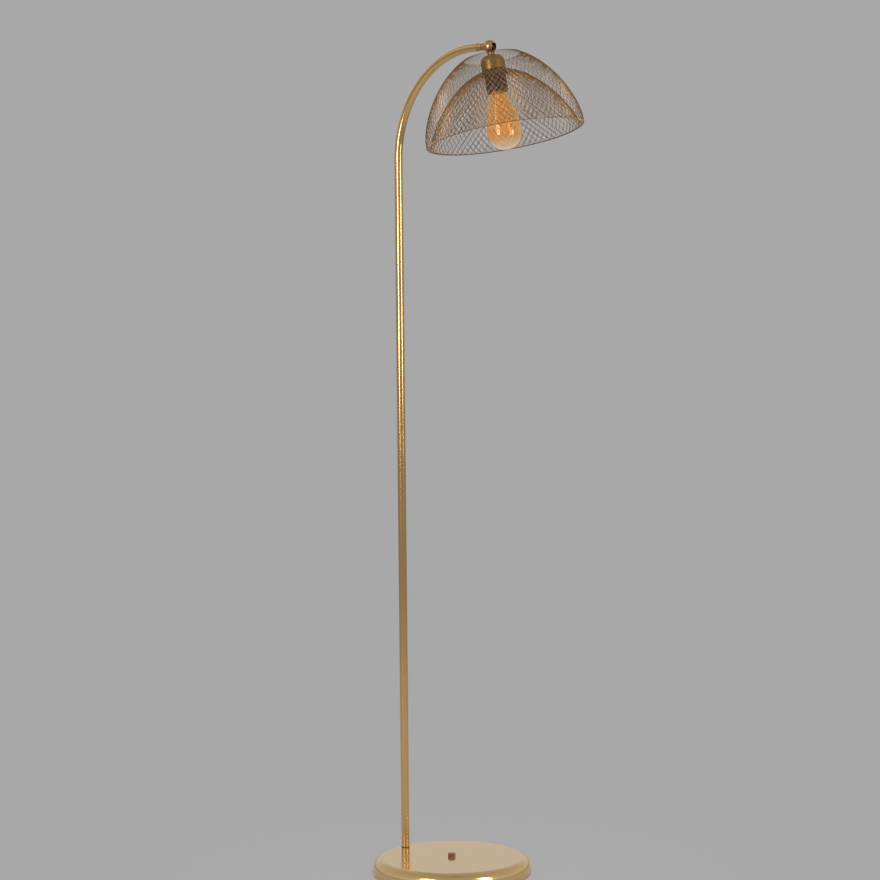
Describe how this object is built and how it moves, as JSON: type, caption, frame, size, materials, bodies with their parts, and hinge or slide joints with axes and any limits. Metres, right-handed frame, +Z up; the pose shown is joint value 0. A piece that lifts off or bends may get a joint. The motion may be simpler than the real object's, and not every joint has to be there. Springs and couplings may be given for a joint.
{
  "type": "wire cage floor lamp",
  "caption": "Floor lamp with a weighted round base, a thin pole that arches over at the top, a ball swivel and a double dome shade of expanded mesh round an amber bulb.",
  "frame": {"origin": "middle of the base's resting face, on the floor", "axes": "+Z up the pole; +X from the pole's side of the base towards the head, the way the arm reaches; +Y completes a right-handed frame"},
  "size_m": [0.4447, 0.302, 1.567],
  "materials": {
    "gold_paint": "satin",
    "gold_mesh": "satin",
    "dark_bronze": "satin",
    "black_felt": "matte",
    "cast_iron": "rough",
    "zinc_steel": "satin",
    "black_rubber": "matte",
    "lead_jacket": "satin",
    "black_plastic": "satin",
    "white_plastic": "matte",
    "brass": "polished",
    "black_glaze": "gloss",
    "amber_glass": "clear",
    "filament_wire": "satin"
  },
  "bodies": {
    "stand": {"base_felt": "black_felt", "base_weight": "cast_iron", "base_cover": "gold_paint", "centre_bolt": "zinc_steel", "bolt_washer": "zinc_steel", "centre_spacer": "zinc_steel", "centre_nut": "dark_bronze", "cord_grommet": "black_rubber", "pole_lower": "gold_paint", "pole_upper": "gold_paint", "pole_foot_plug": "zinc_steel", "pole_stud": "zinc_steel", "pole_washer": "zinc_steel", "pole_nut": "zinc_steel", "pole_joint_plug_lower": "zinc_steel", "pole_joint_plug_upper": "zinc_steel", "pole_joint_stud": "zinc_steel", "arm_joint_plug_lower": "zinc_steel", "arm_joint_plug_upper": "zinc_steel", "arm_joint_stud": "zinc_steel", "arm_tube": "gold_paint", "arm_end_plug": "zinc_steel", "pole_lead": "lead_jacket", "swivel_collar": "gold_paint", "swivel_stem": "zinc_steel"},
    "swivel": {"swivel_ball": "gold_paint", "pivot_screws": "zinc_steel", "swivel_lead": "lead_jacket"},
    "head": {"swivel_yoke": "gold_paint", "socket_cup": "gold_paint", "holder_nipple": "zinc_steel", "cup_locknut": "zinc_steel", "holder_cap": "black_plastic", "contact_block": "white_plastic", "terminal_screws": "brass", "holder_skirt": "black_plastic", "thread_shell": "brass", "shade_ring": "black_plastic", "centre_contact": "brass", "holder_cores": "lead_jacket", "holder_lead": "lead_jacket", "shade_outer": "gold_mesh", "shade_inner": "gold_mesh", "bulb_button": "brass", "bulb_insulator": "black_glaze", "bulb_cap": "brass", "bulb_glass": "amber_glass", "bulb_stem": "amber_glass", "filament": "filament_wire", "filament_supports": "filament_wire"}
  },
  "joints": [
    {"name": "head_turn", "type": "hinge", "parent": "stand", "child": "swivel", "pos_m": [0.113, 0, 1.555], "axis": [1, 0, 0], "range_deg": [-90, 90]},
    {"name": "head_tilt", "type": "hinge", "parent": "swivel", "child": "head", "pos_m": [0.113, 0, 1.555], "axis": [0, -1, 0], "range_deg": [-22.5, 32.5], "deforming": ["swivel_lead"]}
  ]
}
